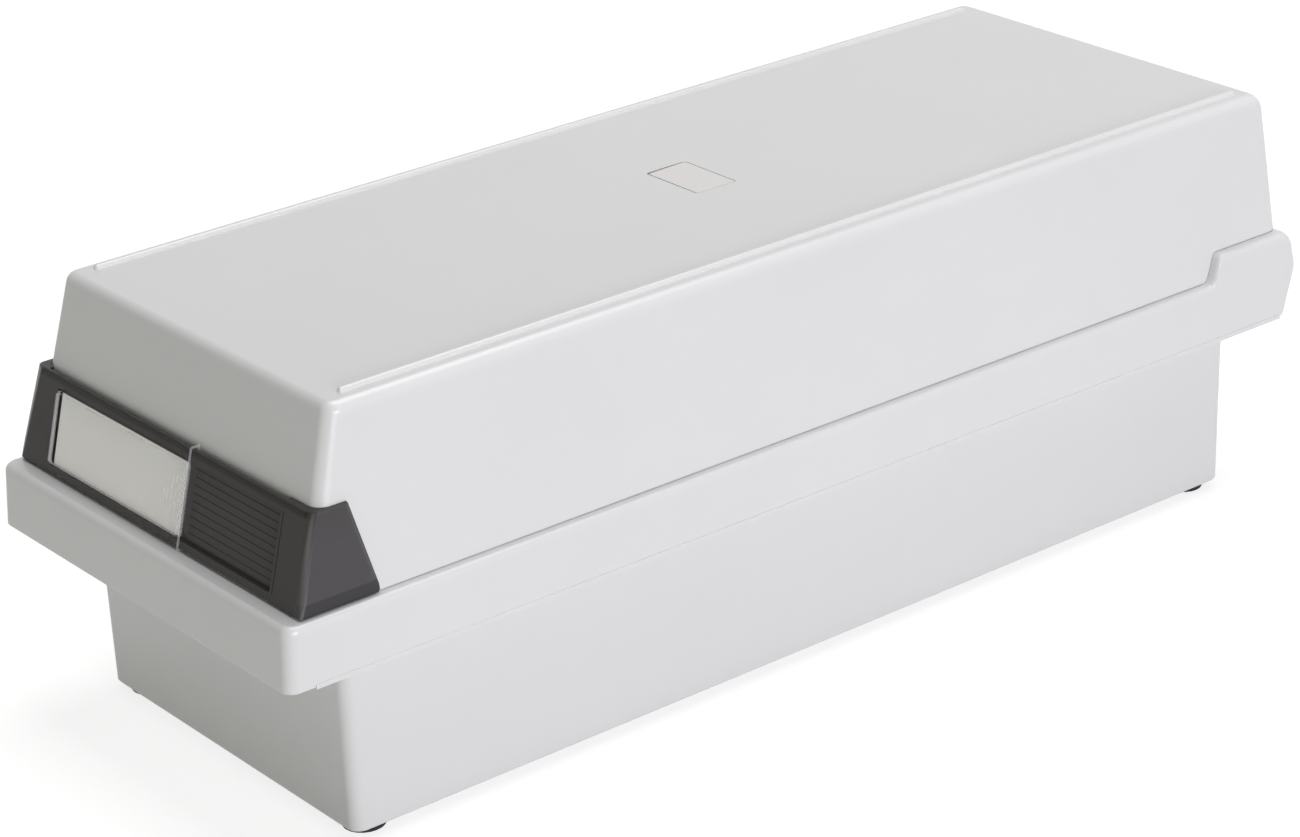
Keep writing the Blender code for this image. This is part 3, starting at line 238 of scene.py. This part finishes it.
def moulded_polystyrene(sizes, colours):
    """High impact polystyrene from a spark eroded mould: an even satin grey, faintly
    mottled, with a fine grain that softens its reflections."""
    material, tree, place = start_material("moulded_high_impact_polystyrene")
    colour = (*colours.shell, 1.0)
    base = shaded(tree, place, colour, darker(colour, 0.972), 0.045)
    # The real grain is about 0.1 mm, and is drawn coarser so that it shows
    grain = noise(tree, place, sizes.shell_grain, Detail=2.0, Roughness=0.6)
    flow = noise(tree, place, 0.060, Detail=1.0)
    shader = add(tree, "ShaderNodeBsdfPrincipled", {"IOR": 1.59, "Specular IOR Level": 0.42},
                 {"Base Color": base, "Roughness": ramp(tree, flow, 0.2, 0.8, 0.27, 0.32),
                  "Normal": bump(tree, grain, 0.10, 0.00004)})
    end_material(tree, shader)
    return material


# Where the clasp's painted light and shade go, in metres out from the middle, up, or back from
# its front

EARS_OUT = (0.0638, 0.0662)
EAR_SHADE_OUT = (0.0645, 0.0652)
EAR_SHADE_UP = (0.0753, 0.0757)
EAR_HIGHLIGHT_OUT = (0.0640, 0.0648)
EAR_HIGHLIGHT_BACK = (-0.1927, -0.1921, -0.1919, -0.1913)
TOP_SHADE_OUT = (0.0630, 0.0650)
TOP_SHADE_UP = (0.0956, 0.0966, 0.0974, 0.0976)


def smoked_polystyrene(sizes, colours):
    """Smoke tinted polystyrene: a deep brownish grey with a dull gloss. The ears are painted
    lighter for the light that falls on them from the right, with painted shade along their lower
    band and a painted highlight down their front edges, and a painted shadow runs just under the
    clasp's top edge."""
    material, tree, place = start_material("smoke_tinted_polystyrene")
    colour = (*colours.smoke, 1.0)
    axes = add(tree, "ShaderNodeSeparateXYZ", links={0: place}).outputs
    out = add(tree, "ShaderNodeMath", {"operation": "ABSOLUTE"}, {0: axes["X"]}).outputs[0]
    lean = add(tree, "ShaderNodeMath", {"operation": "MULTIPLY", 1: -math.tan(FRONT_LEAN)},
               {0: axes["Z"]})
    back = add(tree, "ShaderNodeMath", {"operation": "ADD"}, {0: axes["Y"], 1: lean.outputs[0]})

    base = shaded(tree, place, colour, darker(colour, 0.86), 0.018)
    # Painted light: the ears get the lighter copy of the smoke colour, for the light from the
    # right
    base = blend(tree, ramp(tree, out, *EARS_OUT), base, (*colours.lit_ear, 1.0))
    # Painted shade: the ears turn in under their panels and get less light, so their lower band
    # is painted darker
    foot = times(tree, ramp(tree, out, *EAR_SHADE_OUT),
                 ramp(tree, axes["Z"], *EAR_SHADE_UP, 1.0, 0.0))
    base = blend(tree, foot, base, darker(colours.lit_ear, 0.66))
    # Painted highlight: a thin light line down the front edge of each panel on the ears
    line = times(tree, ramp(tree, out, *EAR_HIGHLIGHT_OUT),
                 band(tree, back.outputs[0], *EAR_HIGHLIGHT_BACK))
    base = blend(tree, line, base, darker(colours.lit_ear, 1.8))
    # Painted shadow: a dark band just under the clasp's top front edge
    top = times(tree, band(tree, axes["Z"], *TOP_SHADE_UP),
                ramp(tree, out, *TOP_SHADE_OUT, 1.0, 0.0))
    base = blend(tree, top, base, darker(colour, 0.30))

    grain = noise(tree, place, sizes.clasp_grain, Detail=2.0, Roughness=0.6)
    shader = add(tree, "ShaderNodeBsdfPrincipled", {"IOR": 1.57, "Specular IOR Level": 0.10},
                 {"Base Color": base, "Roughness": ramp(tree, grain, 0.3, 0.7, 0.30, 0.36),
                  "Normal": bump(tree, grain, 0.06, 0.00003)})
    end_material(tree, shader)
    return material


def clear_styrene(colours):
    """Clear polystyrene polished in the mould, with faint handling haze. A skin 0.75 mm
    thin bends no light that shows, so nearly all of it goes straight through."""
    material, tree, place = start_material("clear_polished_polystyrene")
    base = shaded(tree, place, darker(colours.sleeve, 0.10), darker(colours.sleeve, 0.06), 0.012)
    haze = noise(tree, place, 0.006, Detail=4.0, Roughness=0.6)
    shader = add(tree, "ShaderNodeBsdfPrincipled",
                 {"IOR": 1.59, "Specular IOR Level": 0.5, "Alpha": 0.006},
                 {"Base Color": base, "Roughness": ramp(tree, haze, 0.35, 0.7, 0.03, 0.10)})
    end_material(tree, shader)
    return material


def styrene_edge(colours):
    """The same clear polystyrene seen at its edges, painted whitish and part opaque: a painted
    highlight for the light that these edges gather and bend.
    """
    material, tree, place = start_material("clear_polystyrene_edge")
    colour = (*colours.sleeve, 1.0)
    base = shaded(tree, place, colour, darker(colour, 0.90), 0.008)
    haze = noise(tree, place, 0.003, Detail=3.0, Roughness=0.6)
    shader = add(tree, "ShaderNodeBsdfPrincipled",
                 {"IOR": 1.59, "Specular IOR Level": 0.5, "Alpha": 0.30},
                 {"Base Color": base, "Roughness": ramp(tree, haze, 0.35, 0.7, 0.12, 0.22)})
    end_material(tree, shader)
    return material


def label_board(sizes, colours):
    """Uncoated white card: matt, with short fibres that show as a slight cloudiness."""
    material, tree, place = start_material("uncoated_white_card")
    colour = (*colours.card, 1.0)
    base = shaded(tree, place, colour, darker(colour, 0.965), 0.004)
    fibre = noise(tree, place, sizes.paper_fibre, Detail=5.0, Distortion=1.2)
    shader = add(tree, "ShaderNodeBsdfPrincipled",
                 {"Roughness": 0.75, "IOR": 1.45, "Specular IOR Level": 0.5},
                 {"Base Color": base, "Normal": bump(tree, fibre, 0.2, 0.00003)})
    end_material(tree, shader)
    return material


def satin_plate(colours):
    """A warm white styrene plate, a shade smoother than the lid round it."""
    material, tree, place = start_material("satin_white_polystyrene_plate")
    colour = (*colours.badge, 1.0)
    base = shaded(tree, place, colour, darker(colour, 0.965), 0.007)
    grain = noise(tree, place, 0.0005, Detail=2.0)
    shader = add(tree, "ShaderNodeBsdfPrincipled",
                 {"Roughness": 0.34, "IOR": 1.59, "Specular IOR Level": 0.5},
                 {"Base Color": base, "Normal": bump(tree, grain, 0.08, 0.00003)})
    end_material(tree, shader)
    return material


def foot_rubber(colours):
    """Moulded nitrile rubber: near black and dull, dusty where it meets the table."""
    material, tree, place = start_material("moulded_nitrile_rubber")
    colour = (*colours.rubber, 1.0)
    base = shaded(tree, place, colour, darker(colour, 2.2), 0.003)
    pits = add(tree, "ShaderNodeTexVoronoi", {"Scale": per_metre(0.0009)}, {"Vector": place})
    shader = add(tree, "ShaderNodeBsdfPrincipled",
                 {"Roughness": 0.78, "IOR": 1.52, "Specular IOR Level": 0.3},
                 {"Base Color": base, "Normal": bump(tree, pits.outputs[0], 0.25, 0.00006)})
    end_material(tree, shader)
    return material


def zinc_plating(colours):
    """Drawn steel wire with bright zinc plating: fine lines along it and a bluish cast."""
    material, tree, place = start_material("bright_zinc_plated_steel")
    colour = (*colours.zinc, 1.0)
    base = shaded(tree, place, colour, darker(colour, 0.86), 0.002)
    along = add(tree, "ShaderNodeMapping", {"Scale": (0.05, 1.0, 1.0)}, {"Vector": place})
    lines = noise(tree, along.outputs[0], 0.0003, Detail=3.0)
    shader = add(tree, "ShaderNodeBsdfPrincipled", {"Metallic": 1.0},
                 {"Base Color": base, "Roughness": ramp(tree, lines, 0.3, 0.7, 0.24, 0.40),
                  "Normal": bump(tree, lines, 0.15, 0.00002)})
    end_material(tree, shader)
    return material


def powder_coating(colours):
    """Sheet steel with a grey powder coating, whose surface ripples like orange peel."""
    material, tree, place = start_material("grey_powder_coated_steel")
    colour = (*colours.coating, 1.0)
    base = shaded(tree, place, colour, darker(colour, 0.93), 0.010)
    peel = noise(tree, place, 0.0018, Detail=1.5)
    shader = add(tree, "ShaderNodeBsdfPrincipled", {"IOR": 1.5, "Specular IOR Level": 0.5},
                 {"Base Color": base, "Roughness": ramp(tree, peel, 0.3, 0.7, 0.40, 0.52),
                  "Normal": bump(tree, peel, 0.25, 0.00008)})
    end_material(tree, shader)
    return material


def seen_directly(tree):
    """1 for rays from the camera, and for those that a gloss or a clear piece sends on."""
    path = add(tree, "ShaderNodeLightPath")
    gloss = add(tree, "ShaderNodeMath", {"operation": "MAXIMUM"},
                {0: path.outputs["Is Glossy Ray"], 1: path.outputs["Is Transmission Ray"]})
    seen = add(tree, "ShaderNodeMath", {"operation": "MAXIMUM"},
               {0: path.outputs["Is Camera Ray"], 1: gloss.outputs[0]})
    return seen.outputs[0]


def studio_floor(colours):
    """Pale sweep. The camera sees it near white, and it keeps a soft shadow."""
    material, tree, place = start_material("pale_painted_sweep")
    colour = (*colours.floor, 1.0)
    base = shaded(tree, place, colour, darker(colour, 0.99), 0.300)
    paint = add(tree, "ShaderNodeBsdfDiffuse", {"Roughness": 0.5}, {"Color": base})
    thin = add(tree, "ShaderNodeBsdfDiffuse", {"Color": (0.34, 0.34, 0.34, 1.0)})
    glow = add(tree, "ShaderNodeEmission", {"Color": (1.0, 1.0, 1.0, 1.0), "Strength": 0.80})
    both = add(tree, "ShaderNodeAddShader", links={0: thin.outputs[0], 1: glow.outputs[0]})
    mixed = add(tree, "ShaderNodeMixShader",
                links={0: seen_directly(tree), 1: paint.outputs[0], 2: both.outputs[0]})
    end_material(tree, mixed)
    return material


# Pieces

def only(context, piece):
    """Select one object and nothing else."""
    bpy.ops.object.select_all(action="DESELECT")
    piece.select_set(True)
    context.view_layer.objects.active = piece


def whole_mesh(context, piece):
    """Open a piece in edit mode with everything in it selected."""
    only(context, piece)
    bpy.ops.object.mode_set(mode="EDIT")
    bpy.ops.mesh.select_all(action="SELECT")


def apply_modifiers(context, piece):
    only(context, piece)
    for modifier in list(piece.modifiers):
        bpy.ops.object.modifier_apply(modifier=modifier.name)


def weigh_sharp_edges(piece, angle, plain):
    """Weigh the sharp edges for a bevel, apart from those inside the plain box."""
    bpy.ops.mesh.select_all(action="DESELECT")
    bpy.ops.mesh.select_mode(type="EDGE")
    bpy.ops.mesh.edges_select_sharp(sharpness=angle)
    bpy.ops.object.mode_set(mode="OBJECT")
    mesh = piece.data
    weights = mesh.attributes.new("bevel_weight_edge", "FLOAT", "EDGE").data
    for edge in mesh.edges:
        start, end = (piece.matrix_world @ mesh.vertices[i].co for i in edge.vertices)
        inside = all(low < (a + b) / 2 < high
                     for low, high, a, b in zip(*plain, start, end))
        weights[edge.index].value = float(edge.select and not inside)


def refined(context, node, name, material, edge=0.0, segments=2, smooth=35.0,
            plain=None):
    """A fine copy of a frame node: its faces joined, its sharp edges rounded except in the
    plain box, and its normals smoothed. It takes the node's place."""
    source = frame["nodes"][node]
    body = body_of(source)[0]
    only(context, source)
    bpy.ops.object.duplicate()
    piece = context.active_object
    del piece["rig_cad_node"]
    piece.name = name
    piece.data.name = name
    whole_mesh(context, piece)
    bpy.ops.mesh.remove_doubles(threshold=0.000002)
    bpy.ops.mesh.dissolve_limited(angle_limit=math.radians(0.3), delimit={"NORMAL"})
    if plain:
        weigh_sharp_edges(piece, math.radians(smooth + 5.0), plain)
    bpy.ops.object.mode_set(mode="OBJECT")
    if edge:
        bevel = piece.modifiers.new("edge", "BEVEL")
        bevel.width = edge
        bevel.segments = segments
        bevel.limit_method = "WEIGHT" if plain else "ANGLE"
        bevel.angle_limit = math.radians(smooth + 5.0)
        bevel.use_clamp_overlap = True
        bevel.harden_normals = False
        bevel.miter_outer = "MITER_ARC"
    apply_modifiers(context, piece)
    only(context, piece)
    bpy.ops.object.shade_smooth_by_angle(angle=math.radians(smooth))
    weighted = piece.modifiers.new("weights", "WEIGHTED_NORMAL")
    weighted.keep_sharp = True
    weighted.weight = 60
    apply_modifiers(context, piece)
    piece.data.materials.clear()
    piece.data.materials.append(material)
    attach(piece, body)
    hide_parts(node)
    return piece


def paint_edge_highlights(sleeve, material):
    """Give the sleeve's right end, the walls of its pane and its ridges the edge material, whose
    whitish colour is a painted highlight.
    """
    sleeve.data.materials.append(material)
    height = COVER_HIGH[2] - COVER_LOW[2]
    facing = Vector((0.0, -math.cos(FRONT_LEAN), math.sin(FRONT_LEAN)))
    for face in sleeve.data.polygons:
        centre = sleeve.matrix_world @ face.center
        lowest, highest = PANE_HEIGHTS
        within = (lowest < (centre.z - COVER_LOW[2]) / height < highest
                  and centre.x > COVER_LOW[0] + PANE_FROM_LEFT)
        if face.normal.x > 0.5 or (within and abs(face.normal.dot(facing)) < 0.9):
            face.material_index = 1


def lower_foot(context, lid):
    """Bring the lid's foot nearly down to the tray, as the photo shows only a thin line."""
    whole_mesh(context, lid)
    bpy.ops.mesh.select_all(action="DESELECT")
    bpy.ops.mesh.select_mode(type="FACE")
    bpy.ops.object.mode_set(mode="OBJECT")
    for face in lid.data.polygons:
        height = (lid.matrix_world @ face.center).z
        face.select = face.normal.z < -0.6 and height < FOOT_HIGHEST
    bpy.ops.object.mode_set(mode="EDIT")
    bpy.ops.transform.translate(value=(0.0, 0.0, -FOOT_DROP))
    bpy.ops.object.mode_set(mode="OBJECT")


class CARDTRAY_OT_shells(bpy.types.Operator):
    """Make the tray and the lid, in light grey moulded polystyrene"""
    bl_idname = "cardtray.shells"
    bl_label = "Tray and lid"

    def execute(self, context):
        sizes = context.scene.card_tray_sizes
        plastic = moulded_polystyrene(sizes, context.scene.card_tray_colours)
        refined(context, "tray", "tray_moulding", plastic, sizes.shell_edge)
        lid = refined(context, "lid", "lid_moulding", plastic, sizes.shell_edge)
        lower_foot(context, lid)
        return {"FINISHED"}


class CARDTRAY_OT_badge(bpy.types.Operator):
    """Make the bare plate in the lid's recess"""
    bl_idname = "cardtray.badge"
    bl_label = "Lid plate"

    def execute(self, context):
        plate = satin_plate(context.scene.card_tray_colours)
        piece = refined(context, "lid_badge", "lid_plate", plate, BADGE_EDGE)
        # It lies against the rear of its recess, so only the front gap shows
        whole_mesh(context, piece)
        bpy.ops.transform.translate(value=(0.0, BADGE_SHIFT, 0.0))
        bpy.ops.object.mode_set(mode="OBJECT")
        return {"FINISHED"}


class CARDTRAY_OT_clasp(bpy.types.Operator):
    """Make the smoke grey clasp round the lid's front"""
    bl_idname = "cardtray.clasp"
    bl_label = "Front clasp"

    def execute(self, context):
        sizes = context.scene.card_tray_sizes
        smoke = smoked_polystyrene(sizes, context.scene.card_tray_colours)
        # The fine ribs in the recess stay as they are
        refined(context, "front_clasp", "clasp_moulding", smoke, sizes.clasp_edge,
                smooth=8.0, plain=RIBBED_BOX)
        return {"FINISHED"}


class CARDTRAY_OT_label(bpy.types.Operator):
    """Make the label's blank card and the clear sleeve that slides over it"""
    bl_idname = "cardtray.label"
    bl_label = "Label and sleeve"

    def execute(self, context):
        sizes = context.scene.card_tray_sizes
        colours = context.scene.card_tray_colours
        refined(context, "label_card", "label_strip", label_board(sizes, colours))
        sleeve = refined(context, "label_cover", "label_sleeve", clear_styrene(colours),
                         sizes.sleeve_edge)
        # Painted highlight: the sleeve's edge faces get the whitish edge material
        paint_edge_highlights(sleeve, styrene_edge(colours))
        return {"FINISHED"}


class CARDTRAY_OT_feet(bpy.types.Operator):
    """Make the four rubber feet"""
    bl_idname = "cardtray.feet"
    bl_label = "Rubber feet"

    def execute(self, context):
        rubber = foot_rubber(context.scene.card_tray_colours)
        for place in ("front_left", "front_right", "rear_left", "rear_right"):
            refined(context, "foot_" + place, "foot_pad_" + place, rubber)
        return {"FINISHED"}


class CARDTRAY_OT_pins(bpy.types.Operator):
    """Make the zinc plated hinge pins"""
    bl_idname = "cardtray.pins"
    bl_label = "Hinge pins"

    def execute(self, context):
        zinc = zinc_plating(context.scene.card_tray_colours)
        for side in ("left", "right"):
            refined(context, "hinge_pin_" + side, "hinge_wire_" + side, zinc)
        return {"FINISHED"}


class CARDTRAY_OT_follower(bpy.types.Operator):
    """Make the card follower: its plate, sled, rivets, cam lever and pin"""
    bl_idname = "cardtray.follower"
    bl_label = "Card follower"

    def execute(self, context):
        sizes = context.scene.card_tray_sizes
        colours = context.scene.card_tray_colours
        smoke = bpy.data.materials["smoke_tinted_polystyrene"]
        zinc = bpy.data.materials["bright_zinc_plated_steel"]
        refined(context, "follower_plate", "support_plate", powder_coating(colours),
                sizes.metal_edge)
        refined(context, "follower_sled", "sled_moulding", smoke, sizes.clasp_edge)
        refined(context, "lock_lever", "cam_lever", smoke, sizes.clasp_edge)
        refined(context, "lever_pin", "cam_pin", zinc)
        for side in ("left", "right"):
            refined(context, "plate_rivet_" + side, "rivet_" + side, zinc)
        return {"FINISHED"}


# Stage

CAMERA_PLACE = (0.77064, -0.61049, 0.48280)
CAMERA_AZIMUTH = 52.256
CAMERA_ELEVATION = 23.634
CAMERA_ROLL = -2.438
CAMERA_LENS_MM = 104.852
CAMERA_SHIFT = (0.0056, -0.0013)


def view_axes(azimuth, elevation, roll):
    """Right, up and back of a camera that looks at the object from an azimuth."""
    a, e, r = (math.radians(v) for v in (azimuth, elevation, roll))
    back = Vector((math.sin(a) * math.cos(e), -math.cos(a) * math.cos(e), math.sin(e)))
    right = Vector((math.cos(a), math.sin(a), 0.0))
    up = back.cross(right)
    return (right * math.cos(r) + up * math.sin(r),
            up * math.cos(r) - right * math.sin(r), back)


def soft_lamp(context, name, place, target, width, height, strength, colour):
    """A large area lamp. Its strength is in watts."""
    bpy.ops.object.light_add(type="AREA", location=place)
    lamp = context.active_object
    lamp.name = name
    lamp.data.shape = "RECTANGLE"
    lamp.data.size = width
    lamp.data.size_y = height
    lamp.data.energy = strength
    lamp.data.color = colour
    aim = Vector(target) - Vector(place)
    lamp.rotation_euler = aim.to_track_quat("-Z", "Y").to_euler()
    return lamp


class CARDTRAY_OT_stage(bpy.types.Operator):
    """Make the floor, the soft lamps, the world and the camera"""
    bl_idname = "cardtray.stage"
    bl_label = "Studio"

    def execute(self, context):
        scene = context.scene
        bpy.ops.object.select_all(action="DESELECT")
        bpy.ops.mesh.primitive_plane_add(size=12.0, location=(0.0, 0.0, -0.0002))
        floor = context.active_object
        floor.name = "studio_floor"
        floor.data.materials.append(studio_floor(scene.card_tray_colours))

        world = bpy.data.worlds.new("white_studio")
        world.use_nodes = True
        tree = world.node_tree
        tree.nodes.clear()
        light = add(tree, "ShaderNodeBackground",
                    {"Color": (0.985, 1.0, 0.96, 1.0), "Strength": 0.125})
        white = add(tree, "ShaderNodeBackground",
                    {"Color": (1.0, 1.0, 1.0, 1.0), "Strength": 1.0})
        mixed = add(tree, "ShaderNodeMixShader",
                    links={0: seen_directly(tree), 1: light.outputs[0], 2: white.outputs[0]})
        add(tree, "ShaderNodeOutputWorld", links={"Surface": mixed.outputs[0]})
        scene.world = world

        soft_lamp(context, "right_softbox", (2.3, -0.30, 0.42), (0.0, 0.0, 0.06),
                  1.8, 0.7, 38.6, (1.0, 0.995, 1.01))
        soft_lamp(context, "top_softbox", (0.0, 0.35, 1.70), (0.0, 0.0, 0.06),
                  1.2, 1.2, 21.7, (1.0, 0.995, 0.985))
        soft_lamp(context, "front_softbox", (-0.50, -2.30, 0.45), (0.0, 0.0, 0.06),
                  1.6, 0.7, 4.1, (0.95, 1.0, 0.62))

        bpy.ops.object.camera_add(location=CAMERA_PLACE)
        camera = context.active_object
        camera.name = "photo_camera"
        right, up, back = view_axes(CAMERA_AZIMUTH, CAMERA_ELEVATION, CAMERA_ROLL)
        turn = Matrix((right, up, back)).transposed()
        camera.matrix_world = Matrix.Translation(CAMERA_PLACE) @ turn.to_4x4()
        camera.data.sensor_fit = "HORIZONTAL"
        camera.data.sensor_width = 36.0
        camera.data.lens = CAMERA_LENS_MM
        camera.data.shift_x, camera.data.shift_y = CAMERA_SHIFT
        camera.data.clip_start = 0.05
        camera.data.clip_end = 40.0
        scene.camera = camera
        scene.view_settings.view_transform = "Standard"
        return {"FINISHED"}


class CARDTRAY_PT_panel(bpy.types.Panel):
    """Card tray"""
    bl_idname = "CARDTRAY_PT_panel"
    bl_label = "Card tray"
    bl_space_type = "VIEW_3D"
    bl_region_type = "UI"
    bl_category = "Card tray"

    def draw(self, context):
        layout = self.layout
        for operator in OPERATORS:
            layout.operator(operator.bl_idname)
        for group in (context.scene.card_tray_sizes, context.scene.card_tray_colours):
            box = layout.box()
            for name in group.__annotations__:
                box.prop(group, name)


OPERATORS = (CARDTRAY_OT_shells, CARDTRAY_OT_badge, CARDTRAY_OT_clasp, CARDTRAY_OT_label,
             CARDTRAY_OT_feet, CARDTRAY_OT_pins, CARDTRAY_OT_follower, CARDTRAY_OT_stage)
CLASSES = (CardTraySizes, CardTrayColours, *OPERATORS, CARDTRAY_PT_panel)


def register():
    for cls in CLASSES:
        bpy.utils.register_class(cls)
    bpy.types.Scene.card_tray_sizes = bpy.props.PointerProperty(type=CardTraySizes)
    bpy.types.Scene.card_tray_colours = bpy.props.PointerProperty(type=CardTrayColours)


def unregister():
    del bpy.types.Scene.card_tray_colours
    del bpy.types.Scene.card_tray_sizes
    for cls in reversed(CLASSES):
        bpy.utils.unregister_class(cls)


def plain(box):
    return [[round(float(c), 6) for c in corner] for corner in box]


def main():
    register()
    bpy.ops.cardtray.shells()
    bpy.ops.cardtray.badge()
    bpy.ops.cardtray.clasp()
    bpy.ops.cardtray.label()
    bpy.ops.cardtray.feet()
    bpy.ops.cardtray.pins()
    bpy.ops.cardtray.follower()
    bpy.ops.cardtray.stage()


if __name__ == "__main__":
    main()
